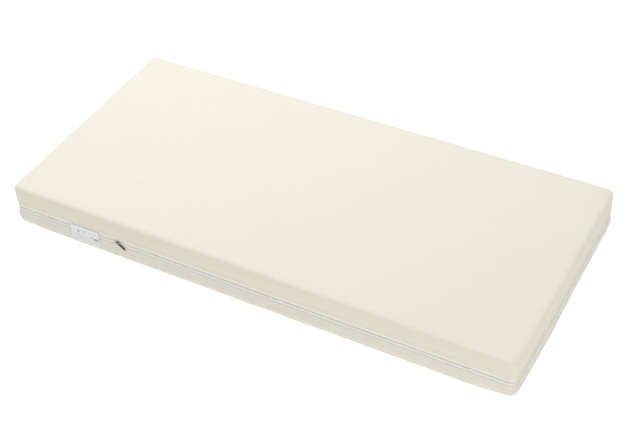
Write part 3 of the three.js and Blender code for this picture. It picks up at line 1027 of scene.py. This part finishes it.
def soften_core(points):
    """Moves what stands outside the core's rounded outline onto it."""
    low = np.array([FOAM_INSET - HALF_LENGTH, FOAM_INSET - HALF_WIDTH, FOAM_BOTTOM])
    high = np.array([HALF_LENGTH - FOAM_INSET, HALF_WIDTH - FOAM_INSET, FOAM_TOP])
    inner = np.clip(points[:, :2], low[:2] + FOAM_CORNER_R, high[:2] - FOAM_CORNER_R)
    away = points[:, :2] - inner
    reach = np.linalg.norm(away, axis=1)
    unit = away / np.where(reach == 0, 1, reach)[:, None]
    ring = FOAM_CORNER_R - FOAM_EDGE_R
    z_inner = np.clip(points[:, 2], low[2] + FOAM_EDGE_R, high[2] - FOAM_EDGE_R)
    u, v = reach - ring, points[:, 2] - z_inner
    length = np.hypot(np.clip(u, 0, None), v)
    outside = (u > 0) & (length > FOAM_EDGE_R)
    share = np.where(outside, FOAM_EDGE_R / np.where(length == 0, 1, length), 1)
    reach = np.where(outside, ring + u * share, reach)
    height = np.where(outside, z_inner + v * share, points[:, 2])
    return np.column_stack([inner + unit * reach[:, None], height])


def cell_drop(values, low, high, cells):
    """Distance from each grid position to the nearest slit's edge; negative inside a slit."""
    borders = np.linspace(low, high, cells + 1)[1:-1]
    if len(borders) == 0:
        return np.full(len(values), 1.0)
    return np.min(np.abs(values[:, None] - borders), axis=1) - SLIT / 2


def top_drop(xs, ys, low, high, columns, rows):
    """How far each point of a pad's top lies below the flat: rounded cells with slits between them."""
    edge = np.minimum.outer(cell_drop(xs, low[0], high[0], columns), cell_drop(ys, low[1], high[1], rows))
    inward = np.clip(CELL_ROUND - np.clip(edge, 0, None), 0, None)
    drop = CELL_SOFTNESS * (CELL_ROUND - np.sqrt(np.clip(CELL_ROUND ** 2 - inward ** 2, 0, None)))
    return np.where(edge < 0, SLIT_DEPTH, drop).ravel()


def ring_heights(low, high):
    """Heights of the rings of a foam block's wall, closer together at its two edges."""
    even = np.linspace(low, high, max(2, round((high - low) / FOAM_LEVEL)) + 1)
    heights = np.unique(np.concatenate([even, high - EDGE_LINES[:5], low + EDGE_LINES[:5]]))
    return heights[(heights > low + 0.5 * MM) & (heights < high - 0.5 * MM)]


def foam_piece(name, node, low, high, columns, rows, material, slot):
    """A foam block cut from the rounded core, its top divided into cells where it has slits."""
    xs = cut_lines(low[0], high[0], columns)
    ys = cut_lines(low[1], high[1], rows)
    plan = np.array([(x, y) for x in xs for y in ys])
    rim = np.array([i * len(ys) + j for i, j in rim_of(len(xs), len(ys))])

    def layer(places, height):
        return soften_core(np.column_stack([places, np.full(len(places), height)]))

    bottom, top = layer(plan, low[2]), layer(plan, high[2])
    top[:, 2] -= top_drop(xs, ys, low, high, columns, rows)
    blocks, rings = [bottom, top], [rim]
    for height in ring_heights(low[2], high[2]):
        ring = layer(plan[rim], height)
        share = (height - low[2]) / (high[2] - low[2])
        ring[:, 2] = np.minimum(ring[:, 2], low[2] + share * (top[rim, 2] - low[2]))
        rings.append(sum(map(len, blocks)) + np.arange(len(rim)))
        blocks.append(ring)
    rings.append(rim + len(plan))
    faces = []
    for a, b, c, d in grid_quads(len(xs), len(ys)):
        faces.append((a, d, c, b))
        faces.append([len(plan) + k for k in (a, b, c, d)])
    for lower, upper in zip(rings, rings[1:]):
        faces += np.stack([lower, np.roll(lower, -1), np.roll(upper, -1), upper], -1).tolist()
    points = np.concatenate(blocks)
    points[:, 2] += corner_lift(points)
    obj = face_outward(mesh_object(name, points, faces))
    obj.data.set_sharp_from_angle(angle=math.radians(38))
    finish_piece(obj, material, slot, "core", node)


def add_foam():
    """Slab, two side bolsters, a soft layer and three pads, each a little inside its CAD solid."""
    # CAD node, cells along and across, material, slot, and the top where it isn't the solid's own
    plan = [
        ("base_slab", 1, 1, FIRM, "foam_firm", None),
        ("side_bolster_near", 1, 1, RAIL, "foam_rail", FOAM_TOP),
        ("side_bolster_far", 1, 1, RAIL, "foam_rail", FOAM_TOP),
        ("transition_layer", 1, 1, SOFT, "foam_soft", None),
        ("heel_pad", 8, 6, MEMORY, "foam_memory", FOAM_TOP),
        ("torso_pad", 8, 6, MEMORY, "foam_memory", FOAM_TOP),
        ("head_pad", 3, 4, MEMORY, "foam_memory", FOAM_TOP),
    ]
    for node, columns, rows, material, slot, top in plan:
        low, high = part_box(node)
        low, high = np.array(low) + FOAM_GAP, np.array(high) - FOAM_GAP
        if top is not None:
            high[2] = top
        name = "foam_" + node.removeprefix("side_")
        foam_piece(name, node, low, high, columns, rows, material, slot)


# ---- slider and pull ----
def dress_metal(node, material, bevel):
    """The CAD piece with its edges eased and a metal surface."""
    obj = bpy.data.objects[node]
    obj.data.materials.clear()
    obj.data.materials.append(material)
    ease = obj.modifiers.new("ease", "BEVEL")
    ease.width, ease.segments = bevel, 2
    ease.limit_method, ease.angle_limit = "ANGLE", math.radians(35)


# ---- build ----
add_camera()
# the second colour of each knit is painted shade for its walls
KNIT_TOP = knit_material("knit_top", (0.87, 0.835, 0.735, 1), (0.73, 0.69, 0.57, 1))
KNIT_BASE = knit_material("knit_base", (0.85, 0.81, 0.70, 1), (0.715, 0.683, 0.595, 1))
LINING = lining_material()
TAPE = tape_material()
COIL = coil_material()
THREAD = thread_material()
SEAM = seam_material()
LABEL = label_material()
NICKEL = metal_material("nickel_satin", (0.62, 0.605, 0.575), 0.32, 0.6)
GUNMETAL = metal_material("gunmetal", (0.045, 0.044, 0.043), 0.42, 0.08)
FIRM = foam_material("foam_firm", (0.70, 0.77, 0.82))
RAIL = foam_material("foam_rail", (0.54, 0.65, 0.73))
SOFT = foam_material("foam_soft", (0.80, 0.84, 0.86))
MEMORY = foam_material("foam_memory", (0.86, 0.81, 0.62))
add_studio()

upper_cover = add_cover_half(UPPER)
lower_cover = add_cover_half(LOWER)
for cover, half in ((upper_cover, UPPER), (lower_cover, LOWER)):
    add_corner_seams(cover, half)
    add_hem_stitches(half)
    add_tape(half)
    add_coil(half)
add_end_tab()
add_label()
add_foam()
dress_metal("zip_slider", NICKEL, 0.35 * MM)
dress_metal("zip_pull_tab", GUNMETAL, 0.3 * MM)
